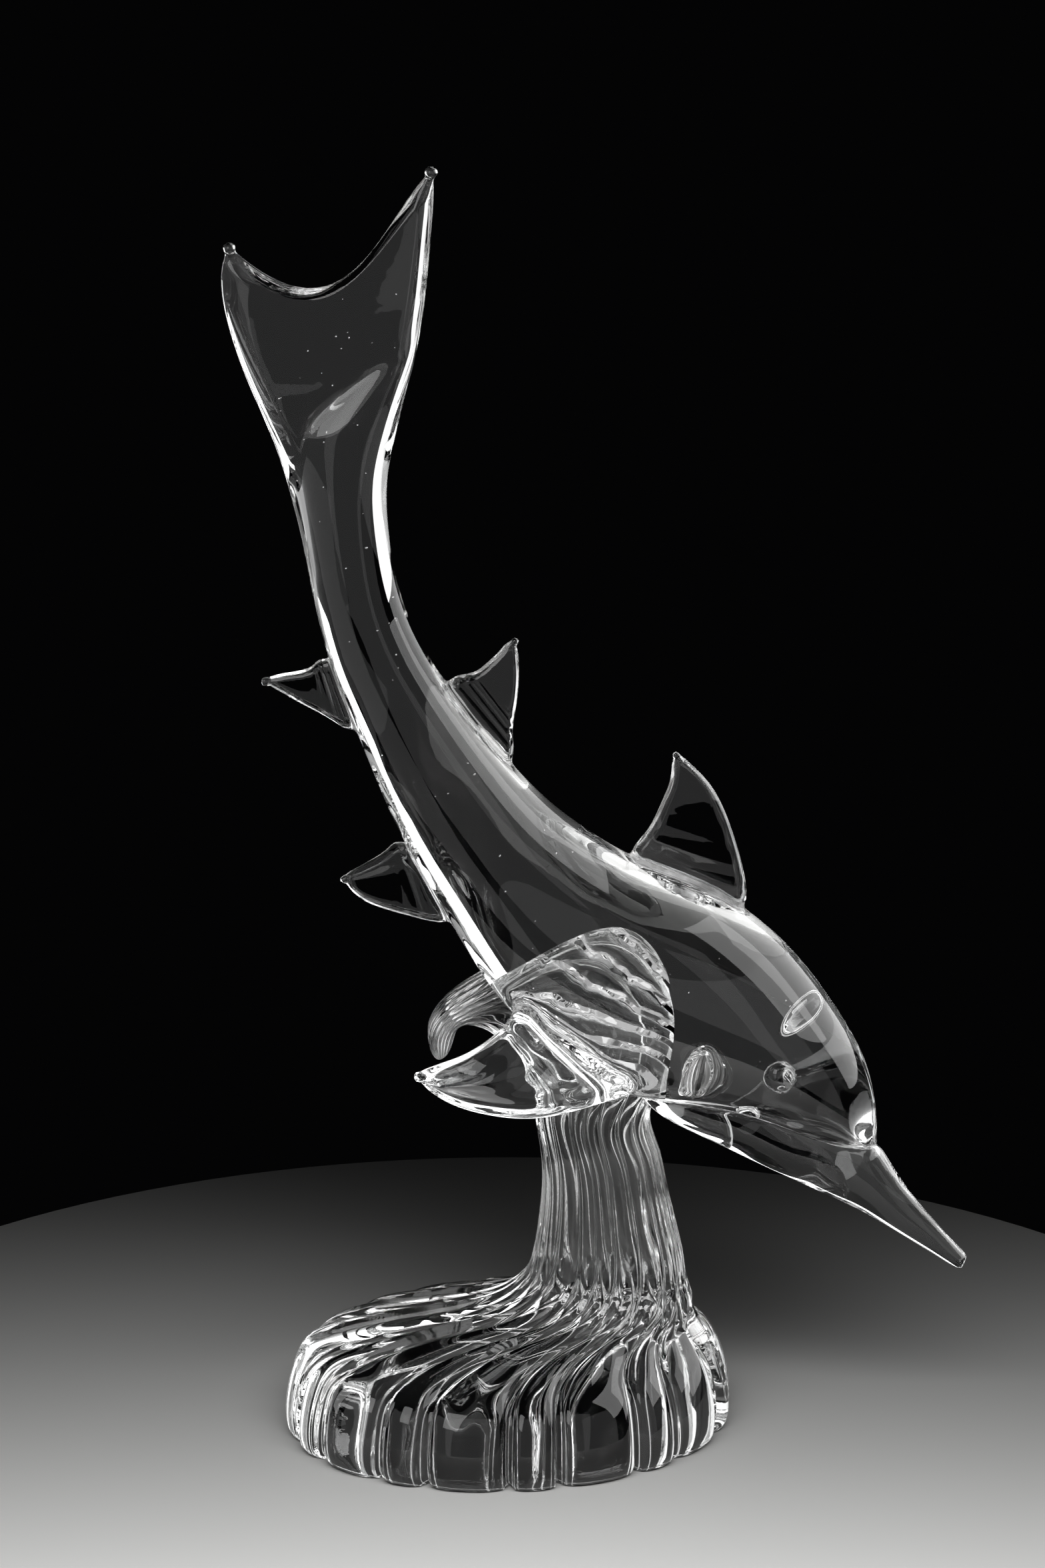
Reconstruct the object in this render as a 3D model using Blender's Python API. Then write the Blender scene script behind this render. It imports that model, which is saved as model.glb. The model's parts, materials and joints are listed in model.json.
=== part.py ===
# A glass dolphin that dives over a breaking wave, both of clear solid glass.
# Metres, +Z up. The foot's flat underside is centred on the origin, the beak points to +X
# and the front is at -Y. The dolphin sits in the wave's column and crest with a small gap.

import math

import bmesh
import bpy
from mathutils import Vector

# The wave's foot
FOOT_LENGTH = 0.164            # its long way, over the lobes
FOOT_DEPTH = 0.138             # its short way, over the lobes
FOOT_HEIGHT = 0.067            # where the foot has drawn in to the column
FOOT_BACK = 0.0055             # how far the foot's middle lies behind the dolphin's
FOOT_TURN_DEG = 13             # its long way runs from the front left to the back right
FOOT_LOBE_DEPTH = 0.0064       # how deep the grooves between the lobes are cut
FOOT_SWIRL_DEG = 20            # how far the lobes turn to the left on their way out

# The wave's column
COLUMN_X = 0.0358              # its middle at the bottom, right of the foot's centre
COLUMN_LEAN = 0.0056           # how far it leans to the left on its way up
COLUMN_BACK = 0.006            # how far it leans to the back
COLUMN_FOOT_WIDTH = 0.0545
COLUMN_FOOT_DEPTH = 0.048
COLUMN_TOP_WIDTH = 0.0417
COLUMN_TOP_DEPTH = 0.037
COLUMN_RIB_DEPTH = 0.0017
SEAT_HEIGHT = 0.118            # where the column reaches the belly

# The ribs run from the foot's rim up the column and over the crest
RIB_COUNT = 20
POINTS_PER_RIB = 4

# The dolphin
DOLPHIN_HEIGHT = 0.396         # beak tip up to the upper fluke tip
DRAWN_HEIGHT = 396.0           # the same height in the units in which the pose is drawn
EYE_DIAMETER = 0.0118
EYE_PROUD = 0.0020             # how far the bead stands out of the cheek
FIT_GAP = 0.0003               # between the dolphin and the wave

BODY_POINTS = 28               # points around the body
FIN_POINTS = 16                # points around a fin
FORK_SKEW = 0.62               # how far the tail's fork leans to the left

UNIT = DOLPHIN_HEIGHT / DRAWN_HEIGHT
SEAT = Vector((COLUMN_X - COLUMN_LEAN, 0.0, SEAT_HEIGHT))
DRAWN_SEAT = (30.2, 118.0)     # the seat in the drawing of the pose, x and z
SIDE = Vector((0.0, 1.0, 0.0))  # the way across the body

# The body, from the fork of the tail to the forehead. Each row is a section: its belly point x
# and z, its back point x and z, half its thickness, the depth of the fork in it, and how round it
# is (1 is an ellipse, less is flatter with rounder edges).
BODY_SECTIONS = (
    (-95.2, 431.0, -26.0, 457.2, 1.4, 22.4, 0.60),
    (-97.2, 427.0, -25.3, 453.0, 3.0, 21.0, 0.60),
    (-98.2, 419.0, -25.6, 443.0, 4.2, 18.5, 0.62),
    (-97.2, 409.5, -26.8, 429.0, 4.9, 14.5, 0.65),
    (-94.6, 399.0, -28.5, 413.0, 5.6, 10.5, 0.70),
    (-90.4, 386.5, -31.2, 396.5, 6.6, 6.0, 0.78),
    (-85.0, 373.5, -35.0, 381.5, 7.9, 2.5, 0.86),
    (-79.9, 360.5, -38.8, 366.5, 9.4, 0.0, 0.94),
    (-76.3, 348.3, -41.6, 352.5, 11.0, 0.0, 1.0),
    (-73.1, 335.5, -42.0, 338.5, 12.3, 0.0, 1.0),
    (-69.6, 318.0, -40.2, 322.0, 13.2, 0.0, 1.0),
    (-66.4, 302.0, -36.8, 307.5, 14.0, 0.0, 1.0),
    (-61.9, 284.5, -31.5, 294.5, 14.8, 0.0, 1.0),
    (-55.6, 267.2, -24.4, 282.1, 16.0, 0.0, 1.0),
    (-48.0, 247.5, -13.5, 267.0, 18.3, 0.0, 1.0),
    (-38.5, 225.0, -0.5, 251.0, 21.5, 0.0, 1.0),
    (-27.0, 203.5, 13.5, 236.0, 24.5, 0.0, 1.0),
    (-15.0, 182.0, 27.5, 225.0, 27.5, 0.0, 1.0),
    (0.0, 160.0, 42.0, 216.0, 30.3, 0.0, 1.0),
    (19.5, 142.3, 58.5, 209.0, 32.5, 0.0, 1.0),
    (38.0, 130.0, 77.5, 200.0, 33.6, 0.0, 1.0),
    (58.5, 126.0, 97.5, 184.2, 33.6, 0.0, 1.0),
    (78.0, 123.0, 112.0, 166.7, 32.0, 0.0, 1.0),
    (93.7, 118.5, 122.5, 150.5, 29.4, 0.0, 1.0),
    (106.6, 113.5, 129.2, 135.5, 25.0, 0.0, 1.0),
    (117.6, 109.6, 131.9, 121.5, 17.5, 0.0, 1.0),
    (126.4, 107.8, 132.5, 112.4, 9.0, 0.0, 1.0),
    (129.8, 107.6, 132.6, 109.2, 3.0, 0.0, 1.0),
)

# The jaw and the beak under the forehead, from inside the throat to the tip, in rows of the same
# form. The crease along the cheek is where the two meet.
JAW_SECTIONS = (
    (47.0, 127.5, 53.0, 138.5, 5.0, 0.0, 1.0),
    (55.0, 119.4, 65.5, 137.5, 11.0, 0.0, 1.0),
    (69.3, 112.0, 82.5, 132.5, 14.0, 0.0, 1.0),
    (82.0, 105.7, 96.0, 126.5, 14.8, 0.0, 1.0),
    (93.0, 100.2, 108.5, 120.5, 14.5, 0.0, 1.0),
    (101.5, 96.1, 118.5, 115.5, 13.4, 0.0, 1.0),
    (107.5, 93.0, 127.0, 111.3, 12.0, 0.0, 1.0),
    (113.0, 90.4, 133.4, 107.3, 10.6, 0.0, 1.0),
    (122.0, 86.0, 137.9, 100.9, 9.0, 0.0, 1.0),
    (133.0, 79.8, 144.9, 90.3, 6.8, 0.0, 1.0),
    (145.0, 72.2, 153.6, 79.6, 5.0, 0.0, 1.0),
    (155.7, 65.3, 161.3, 71.0, 3.5, 0.0, 1.0),
    (161.6, 61.6, 165.6, 66.2, 2.7, 0.0, 1.0),
    (164.2, 60.8, 166.4, 63.4, 1.4, 0.0, 1.0),
)

# The fins, from a root inside the body out to the tip. Each row is a section: its leading edge
# x, y and z, its trailing edge x, y and z, and half its thickness.
FIN_ROUNDNESS = 0.62
FINS = {
    "upper_back_fin": (
        (-1.0, 0.0, 243.0, -27.0, 0.0, 274.0, 5.2),
        (1.8, 0.0, 252.0, -19.5, 0.0, 280.2, 3.7),
        (1.6, 0.0, 261.0, -12.5, 0.0, 282.0, 3.0),
        (2.8, 0.0, 270.5, -7.6, 0.0, 285.4, 2.4),
        (3.7, 0.0, 281.0, -3.4, 0.0, 289.4, 1.9),
        (3.4, 0.0, 292.8, 0.4, 0.0, 294.2, 1.1),
    ),
    "lower_back_fin": (
        (80.0, 0.0, 188.0, 40.0, 0.0, 206.0, 6.4),
        (84.3, 0.0, 199.0, 43.2, 0.0, 217.0, 4.4),
        (82.6, 0.0, 213.0, 49.4, 0.0, 225.4, 3.4),
        (77.8, 0.0, 228.5, 54.0, 0.0, 235.2, 2.8),
        (71.8, 0.0, 240.8, 56.8, 0.0, 242.2, 2.3),
        (64.8, 0.0, 248.6, 57.6, 0.0, 248.0, 1.8),
        (60.2, 0.0, 253.0, 58.0, 0.0, 251.8, 1.1),
    ),
    "upper_belly_fin": (
        (-48.0, 0.0, 262.0, -56.0, 0.0, 286.0, 4.6),
        (-55.4, 0.0, 261.4, -64.6, 0.0, 287.2, 3.2),
        (-63.2, 0.0, 265.8, -68.8, 0.0, 284.3, 2.5),
        (-71.5, 0.0, 270.3, -74.2, 0.0, 282.5, 2.1),
        (-78.6, 0.0, 274.5, -80.0, 0.0, 281.5, 1.8),
        (-84.4, 0.0, 277.6, -85.0, 0.0, 280.3, 1.2),
    ),
    "lower_belly_fin": (
        (-11.0, 0.0, 193.0, -26.0, 0.0, 213.0, 5.2),
        (-23.5, 0.0, 191.3, -37.2, 0.0, 220.8, 3.6),
        (-34.4, 0.0, 193.5, -43.2, 0.0, 217.8, 2.9),
        (-44.3, 0.0, 196.3, -49.2, 0.0, 213.8, 2.4),
        (-52.2, 0.0, 200.0, -54.8, 0.0, 210.6, 2.0),
        (-57.8, 0.0, 205.4, -58.8, 0.0, 208.4, 1.2),
    ),
    "near_flipper": (
        (38.0, -8.0, 141.0, 11.0, -6.0, 168.0, 6.5),
        (44.0, -19.0, 134.0, 3.0, -17.0, 168.0, 6.2),
        (33.0, -27.0, 132.6, 0.4, -26.0, 163.0, 4.6),
        (11.0, -36.0, 130.0, -11.8, -34.0, 154.8, 3.9),
        (-11.1, -44.0, 135.0, -21.6, -42.0, 152.8, 3.2),
        (-22.6, -49.0, 141.4, -27.0, -48.0, 152.6, 2.6),
        (-30.6, -52.5, 148.4, -31.2, -52.0, 152.4, 1.5),
    ),
    "far_flipper": (
        (92.0, 12.0, 128.0, 68.0, 12.0, 148.0, 6.5),
        (94.0, 26.0, 123.0, 67.0, 28.0, 145.0, 5.0),
        (90.0, 39.0, 114.0, 68.0, 41.0, 133.0, 3.9),
        (84.0, 50.0, 106.5, 70.0, 52.0, 119.5, 3.2),
        (77.0, 58.5, 101.5, 71.5, 59.5, 107.0, 1.6),
    ),
}

# The eye bead: the body section whose cheek carries it, how far it sits in front of that section,
# how far towards the back from its middle, as a share of half of it, and the cheek's share of the
# section's thickness there.
EYE_SECTION = 22
EYE_FORWARD = 3.5
EYE_SHARE = -0.03
EYE_CHEEK = 0.985

# The foot, from the underside up. Each row is a section as shares: of the foot's height, of the
# spread that is left in length and in depth, and of the way from the foot's middle to the column's.
FOOT_SECTIONS = (
    (0.000, 0.950, 0.940, 0.00),
    (0.050, 0.995, 0.995, 0.00),
    (0.180, 1.000, 1.000, 0.00),
    (0.330, 0.965, 0.940, 0.00),
    (0.445, 0.900, 0.820, 0.01),
    (0.530, 0.790, 0.640, 0.08),
    (0.600, 0.610, 0.430, 0.25),
    (0.665, 0.400, 0.240, 0.52),
    (0.740, 0.200, 0.110, 0.80),
    (0.850, 0.060, 0.040, 0.95),
    (1.000, 0.000, 0.000, 1.00),
)

# The column between its foot and the seat, as shares of its height, of the width and depth that
# it has still to lose, and of its lean.
COLUMN_SECTIONS = (
    (0.26, 0.58, 0.07),
    (0.52, 0.24, 0.24),
    (0.76, 0.07, 0.55),
    (1.00, 0.00, 1.00),
)

# The crest above the seat, in the units of the pose, because it follows the belly and the far
# flank. Each row is a section: its inner point x and z, its outer point x and z, the y of its
# middle, half its depth and the depth of its ribs.
CREST_SECTIONS = (
    (8.0, 125.5, 55.5, 131.0, 11.0, 18.5, 1.7),
    (5.0, 131.5, 58.0, 147.0, 17.0, 18.5, 1.7),
    (0.8, 136.6, 55.0, 164.0, 22.0, 18.5, 1.6),
    (-4.0, 140.4, 43.5, 177.0, 25.0, 18.0, 1.5),
    (-7.8, 143.2, 27.0, 182.5, 25.5, 17.5, 1.4),
    (-11.4, 145.4, 9.0, 177.0, 24.0, 16.5, 1.2),
    (-14.6, 146.8, -6.0, 169.5, 22.0, 15.0, 1.0),
    (-17.0, 147.1, -17.0, 163.0, 20.5, 13.5, 0.8),
    (-18.6, 146.0, -25.0, 156.3, 19.0, 12.0, 0.6),
    (-19.6, 143.6, -28.8, 149.0, 18.0, 10.5, 0.5),
    (-20.4, 140.8, -29.2, 142.6, 17.3, 9.0, 0.4),
    (-21.6, 138.0, -27.8, 137.4, 16.8, 7.0, 0.3),
    (-23.6, 136.0, -26.0, 135.6, 16.5, 3.4, 0.1),
)


def posed(x, y, z):
    """A point of the drawn pose as a place in metres, measured from the seat."""
    return SEAT + Vector((x - DRAWN_SEAT[0], y, z - DRAWN_SEAT[1])) * UNIT


def skin(name, rings, material, collection):
    """One closed object through a row of rings that have the same number of points."""
    mesh = bmesh.new()
    loops = [[mesh.verts.new(point) for point in ring] for ring in rings]
    count = len(loops[0])
    for lower, upper in zip(loops, loops[1:]):
        for i in range(count):
            j = (i + 1) % count
            mesh.faces.new((lower[i], lower[j], upper[j], upper[i]))
    for loop in (loops[0], loops[-1]):
        for i in range(count // 2):
            corners = (loop[i], loop[i + 1], loop[count - i - 1], loop[-i])
            mesh.faces.new(tuple(dict.fromkeys(corners)))
    bmesh.ops.recalc_face_normals(mesh, faces=mesh.faces)
    for face in mesh.faces:
        face.smooth = True
    data = bpy.data.meshes.new(name)
    mesh.to_mesh(data)
    mesh.free()
    data.materials.append(material)
    thing = bpy.data.objects.new(name, data)
    collection.objects.link(thing)
    return thing


def section(first, second, across, half_thickness, roundness, points, sag=0.0):
    """A ring between two edge points, with its thickness along a unit vector."""
    middle = (first + second) / 2
    half = (second - first) / 2
    inward = across.cross(half).normalized()
    ring = []
    for i in range(points):
        angle = 2 * math.pi * i / points
        chord = math.cos(angle)
        rise = math.copysign(abs(math.sin(angle)) ** roundness, math.sin(angle))
        if i in (0, points // 2):
            rise = 0.0
        fork = sag * (1 - chord * chord) * (1 - FORK_SKEW * chord)
        ring.append(middle + half * chord + across * (half_thickness * rise) + inward * fork)
    return ring


def widened(first, second, grow):
    """The two edge points, each moved outwards by the same amount."""
    out = (second - first).normalized() * grow
    return first - out, second + out


def body_rings(rows, grow=0.0):
    """The sections of the body, or of the jaw and the beak."""
    rings = []
    for belly_x, belly_z, back_x, back_z, half, sag, roundness in rows:
        belly, back = widened(posed(belly_x, 0.0, belly_z), posed(back_x, 0.0, back_z), grow)
        rings.append(section(belly, back, SIDE, half * UNIT + grow, roundness, BODY_POINTS,
                             sag * UNIT))
    return rings


def fin_rings(rows, grow=0.0):
    """The sections of one fin, each square to the way the fin runs there."""
    edges = [(posed(*row[0:3]), posed(*row[3:6]), row[6] * UNIT) for row in rows]
    middles = [(lead + trail) / 2 for lead, trail, half in edges]
    rings = []
    for i, (lead, trail, half) in enumerate(edges):
        along = middles[min(i + 1, len(edges) - 1)] - middles[max(i - 1, 0)]
        across = along.cross(trail - lead).normalized()
        lead, trail = widened(lead, trail, grow)
        rings.append(section(lead, trail, across, half + grow, FIN_ROUNDNESS, FIN_POINTS))
    return rings


def eye_place(side):
    """The middle of an eye bead, sunk into the cheek at the eye's section."""
    belly_x, belly_z, back_x, back_z, half, sag, roundness = BODY_SECTIONS[EYE_SECTION]
    middle = (posed(belly_x, 0.0, belly_z) + posed(back_x, 0.0, back_z)) / 2
    toward_back = posed(back_x, 0.0, back_z) - middle
    forward = SIDE.cross(toward_back).normalized() * EYE_FORWARD * UNIT
    sunk = EYE_DIAMETER / 2 - EYE_PROUD
    outward = SIDE * side * (half * UNIT * EYE_CHEEK - sunk)
    return middle + toward_back * EYE_SHARE + forward + outward


def blend(first, second, share):
    return first + (second - first) * share


def wave_sections():
    """The wave's sections from the foot to the crest: the middle, half the length and half the
    depth as vectors, the rib depth and the angle by which the ribs have turned."""
    column_foot = (COLUMN_FOOT_WIDTH / 2, COLUMN_FOOT_DEPTH / 2)
    column_top = (COLUMN_TOP_WIDTH / 2, COLUMN_TOP_DEPTH / 2)
    sections = []

    def level(x, y, z, half_length, half_depth, rib, turn, swirl):
        reach = Vector((math.cos(turn), math.sin(turn), 0.0))
        sections.append((Vector((x, y, z)), reach * half_length,
                         Vector((-reach.y, reach.x, 0.0)) * half_depth, rib, swirl))

    for height, spread_length, spread_depth, shift in FOOT_SECTIONS:
        level(COLUMN_X * shift, FOOT_BACK * (1 - shift), FOOT_HEIGHT * height,
              blend(column_foot[0], FOOT_LENGTH / 2, spread_length),
              blend(column_foot[1], FOOT_DEPTH / 2, spread_depth),
              blend(COLUMN_RIB_DEPTH, FOOT_LOBE_DEPTH, spread_length),
              math.radians(FOOT_TURN_DEG) * spread_length,
              -math.radians(FOOT_SWIRL_DEG) * spread_length)
    for height, slack, lean in COLUMN_SECTIONS:
        level(COLUMN_X - COLUMN_LEAN * lean, COLUMN_BACK * lean,
              blend(FOOT_HEIGHT, SEAT_HEIGHT, height),
              blend(column_top[0], column_foot[0], slack),
              blend(column_top[1], column_foot[1], slack),
              COLUMN_RIB_DEPTH, 0.0, 0.0)
    for inner_x, inner_z, outer_x, outer_z, y, half, rib in CREST_SECTIONS:
        inner, outer = posed(inner_x, y, inner_z), posed(outer_x, y, outer_z)
        sections.append(((inner + outer) / 2, (outer - inner) / 2, SIDE * half * UNIT,
                         rib * UNIT, 0.0))
    return sections


def ribbed_ring(middle, half, side, rib, swirl):
    """A ring of rounded ribs with a sharp groove between each two."""
    cut = rib / ((half.length + side.length) / 2)
    points = RIB_COUNT * POINTS_PER_RIB
    ring = []
    for i in range(points):
        angle = 2 * math.pi * i / points + swirl
        lobe = math.sin(math.pi * (i % POINTS_PER_RIB) / POINTS_PER_RIB)
        reach = 1 - cut * (1 - lobe)
        ring.append(middle + (half * math.cos(angle) + side * math.sin(angle)) * reach)
    return ring


def clear_glass(name, colour):
    """Clear solid glass."""
    material = bpy.data.materials.new(name)
    material.use_nodes = True
    shader = material.node_tree.nodes["Principled BSDF"]
    shader.inputs["Base Color"].default_value = (*colour, 1.0)
    shader.inputs["Metallic"].default_value = 0.0
    shader.inputs["Roughness"].default_value = 0.02
    shader.inputs["IOR"].default_value = 1.5
    shader.inputs["Transmission Weight"].default_value = 1.0
    return material


def combine(target, operation, other):
    """A Boolean modifier on the target, with the other object as its tool."""
    modifier = target.modifiers.new(other.name, 'BOOLEAN')
    modifier.operation = operation
    modifier.solver = 'EXACT'
    modifier.object = other
    other.hide_render = True
    other.display_type = 'WIRE'


def build():
    for old in list(bpy.data.objects):
        bpy.data.objects.remove(old, do_unlink=True)
    pieces = bpy.data.collections.new("glass_dolphin")
    tools = bpy.data.collections.new("cutters")
    bpy.context.scene.collection.children.link(pieces)
    bpy.context.scene.collection.children.link(tools)

    figure_glass = clear_glass("dolphin_glass", (0.94, 0.96, 0.96))
    wave_glass = clear_glass("wave_glass", (0.95, 0.96, 0.96))

    dolphin = skin("dolphin", body_rings(BODY_SECTIONS), figure_glass, pieces)
    combine(dolphin, 'UNION', skin("jaw", body_rings(JAW_SECTIONS), figure_glass, tools))
    for name, rows in FINS.items():
        combine(dolphin, 'UNION', skin(name, fin_rings(rows), figure_glass, tools))
    for name, side in (("near_eye", -1), ("far_eye", 1)):
        bpy.ops.mesh.primitive_uv_sphere_add(segments=16, ring_count=10, radius=EYE_DIAMETER / 2,
                                             location=eye_place(side))
        eye = bpy.context.object
        eye.name = name
        for collection in list(eye.users_collection):
            collection.objects.unlink(eye)
        tools.objects.link(eye)
        combine(dolphin, 'UNION', eye)

    wave_rings = [ribbed_ring(*part) for part in wave_sections()]
    wave = skin("wave_base", wave_rings, wave_glass, pieces)
    for name, rows in (("seat_cut", BODY_SECTIONS), ("throat_cut", JAW_SECTIONS)):
        combine(wave, 'DIFFERENCE', skin(name, body_rings(rows, FIT_GAP), wave_glass, tools))
    for name in ("near_flipper", "far_flipper"):
        cut = skin(name + "_cut", fin_rings(FINS[name], FIT_GAP), wave_glass, tools)
        combine(wave, 'DIFFERENCE', cut)


build()
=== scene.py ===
import json
import math
import random

import bmesh
import bpy
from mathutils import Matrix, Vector

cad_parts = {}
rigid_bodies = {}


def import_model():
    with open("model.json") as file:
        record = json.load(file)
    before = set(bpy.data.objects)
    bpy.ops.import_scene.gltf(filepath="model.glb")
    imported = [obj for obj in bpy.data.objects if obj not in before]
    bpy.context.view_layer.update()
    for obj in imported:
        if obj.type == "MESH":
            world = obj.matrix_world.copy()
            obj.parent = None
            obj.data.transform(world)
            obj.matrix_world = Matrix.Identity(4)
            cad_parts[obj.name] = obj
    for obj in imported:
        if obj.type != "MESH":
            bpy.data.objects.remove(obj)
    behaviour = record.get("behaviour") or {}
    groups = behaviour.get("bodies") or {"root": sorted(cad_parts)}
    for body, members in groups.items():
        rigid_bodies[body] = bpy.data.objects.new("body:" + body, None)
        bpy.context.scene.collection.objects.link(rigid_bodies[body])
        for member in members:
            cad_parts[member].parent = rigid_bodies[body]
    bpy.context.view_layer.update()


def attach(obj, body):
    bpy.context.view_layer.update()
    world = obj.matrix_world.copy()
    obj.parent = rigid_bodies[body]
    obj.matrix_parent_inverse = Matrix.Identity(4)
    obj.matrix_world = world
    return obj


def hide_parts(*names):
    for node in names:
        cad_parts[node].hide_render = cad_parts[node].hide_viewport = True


for thing in list(bpy.data.objects):
    bpy.data.objects.remove(thing, do_unlink=True)
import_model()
print("frame loaded")

# The pose is drawn in millimetres, x to the right and z up, in the frame of the solids.
millimetre = 0.001
sideways = Vector((0.0, 1.0, 0.0))
rowPasses = 5          # how often the control rows are moved closer to the rows of sizes
sameSpot = 2e-6        # points of a skin closer than this are one point


def smoothStep(low, high, value):
    share = min(max((value - low) / (high - low), 0.0), 1.0)
    return share * share * (3 - 2 * share)


def mix(first, second, share):
    return first + (second - first) * share


def softMax(first, second, width):    # the larger of two, with the corner between them rounded
    gap = first - second
    return 0.5 * (first + second + math.sqrt(gap * gap + width * width) - width)


def throughRows(rows):    # control rows of an even curve that passes close to each row
    control = [list(row) for row in rows]
    count = len(rows[0])
    for turn in range(rowPasses):
        missed = []
        for i, row in enumerate(rows):
            before, here, after = control[max(i - 1, 0)], control[i], control[min(i + 1, len(rows) - 1)]
            if i in (0, len(rows) - 1):
                before = after = here
            missed.append([row[k] - (before[k] + 4 * here[k] + after[k]) / 6 for k in range(count)])
        for i in range(len(rows)):
            for k in range(count):
                control[i][k] += missed[i][k]
    return control


def rowAt(control, share):    # the row of sizes at a share of the way along
    last = len(control) - 1
    spot = min(max(share, 0.0), 1.0) * last
    first = min(int(spot), last - 1)
    t = spot - first
    weights = ((1 - t) ** 3 / 6, (3 * t ** 3 - 6 * t * t + 4) / 6,
               (-3 * t ** 3 + 3 * t * t + 3 * t + 1) / 6, t ** 3 / 6)
    near = []
    for i in range(first - 1, first + 3):
        if i < 0:
            near.append([2 * a - b for a, b in zip(control[0], control[1])])
        elif i > last:
            near.append([2 * a - b for a, b in zip(control[last], control[last - 1])])
        else:
            near.append(control[i])
    return [sum(w * row[k] for w, row in zip(weights, near)) for k in range(len(control[0]))]


def faceOutward(mesh):    # for one closed skin
    bmesh.ops.recalc_face_normals(mesh, faces=mesh.faces)
    if mesh.calc_volume(signed=True) < 0:
        bmesh.ops.reverse_faces(mesh, faces=mesh.faces)


def tube(rings, points, place):    # a closed skin, place(share along, share around) gives a point
    mesh = bmesh.new()
    bmesh.ops.create_grid(mesh, x_segments=rings, y_segments=points, size=0.5)
    for vert in mesh.verts:
        vert.co = place(vert.co.x + 0.5, (vert.co.y + 0.5) % 1.0) * millimetre
    bmesh.ops.remove_doubles(mesh, verts=mesh.verts, dist=sameSpot)
    bmesh.ops.holes_fill(mesh, edges=mesh.edges, sides=0)
    faceOutward(mesh)
    return mesh


def asObject(name, mesh, materials=()):
    data = bpy.data.meshes.new(name)
    mesh.to_mesh(data)
    mesh.free()
    for material in materials:
        data.materials.append(material)
    thing = bpy.data.objects.new(name, data)
    bpy.context.scene.collection.objects.link(thing)
    return thing


def applyModifiers(thing):
    graph = bpy.context.evaluated_depsgraph_get()
    fresh = bpy.data.meshes.new_from_object(thing.evaluated_get(graph))
    old = thing.data
    thing.modifiers.clear()
    thing.data = fresh
    bpy.data.meshes.remove(old)


def booleanWith(thing, operation, other):
    step = thing.modifiers.new(other.name, 'BOOLEAN')
    step.operation = operation
    step.solver = 'MANIFOLD'
    step.object = other
    step.material_mode = 'INDEX'
    applyModifiers(thing)


def smoothShade(thing):
    for polygon in thing.data.polygons:
        polygon.use_smooth = True


def removeObject(thing):
    data = thing.data
    bpy.data.objects.remove(thing, do_unlink=True)
    bpy.data.meshes.remove(data)


# Clear glass: its tint, how much it bends light, and faint ripples and grain in its skin
glassLook = dict(colour=(0.985, 0.992, 0.992), bend=1.5, rippleSize=26.0, rippleDepth=0.00012,
                 grainSize=160.0, grainDepth=0.00001)


def clearGlass(name, look):
    glass = bpy.data.materials.new(name)
    glass.use_nodes = True
    nodes, links = glass.node_tree.nodes, glass.node_tree.links
    shader = nodes["Principled BSDF"]
    shader.inputs["Base Color"].default_value = (*look["colour"], 1.0)
    shader.inputs["Metallic"].default_value = 0.0
    shader.inputs["Roughness"].default_value = 0.0
    shader.inputs["IOR"].default_value = look["bend"]
    shader.inputs["Transmission Weight"].default_value = 1.0
    place = nodes.new("ShaderNodeTexCoord")
    ripple = nodes.new("ShaderNodeTexNoise")
    ripple.inputs["Scale"].default_value = look["rippleSize"]
    ripple.inputs["Detail"].default_value = 1.0
    grain = nodes.new("ShaderNodeTexNoise")
    grain.inputs["Scale"].default_value = look["grainSize"]
    grain.inputs["Detail"].default_value = 2.0
    wide = nodes.new("ShaderNodeBump")
    wide.inputs["Distance"].default_value = look["rippleDepth"]
    fine = nodes.new("ShaderNodeBump")
    fine.inputs["Distance"].default_value = look["grainDepth"]
    links.new(place.outputs["Object"], ripple.inputs["Vector"])
    links.new(place.outputs["Object"], grain.inputs["Vector"])
    links.new(ripple.outputs["Fac"], wide.inputs["Height"])
    links.new(grain.outputs["Fac"], fine.inputs["Height"])
    links.new(wide.outputs["Normal"], fine.inputs["Normal"])
    links.new(fine.outputs["Normal"], shader.inputs["Normal"])
    return glass


# The rib marks where the belly sits in the wave fan out from one point, seen from the side:
# the point's x and z, the fan's turn, how close the marks lie, how they are eased near the point,
# their depth, and how much and how finely they waver.
fanLook = dict(point=(0.0715, 0.1485), turn=42.0, ribs=46.0, near=0.03, depth=0.0013, waver=3.6,
               waverSize=60.0)


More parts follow.
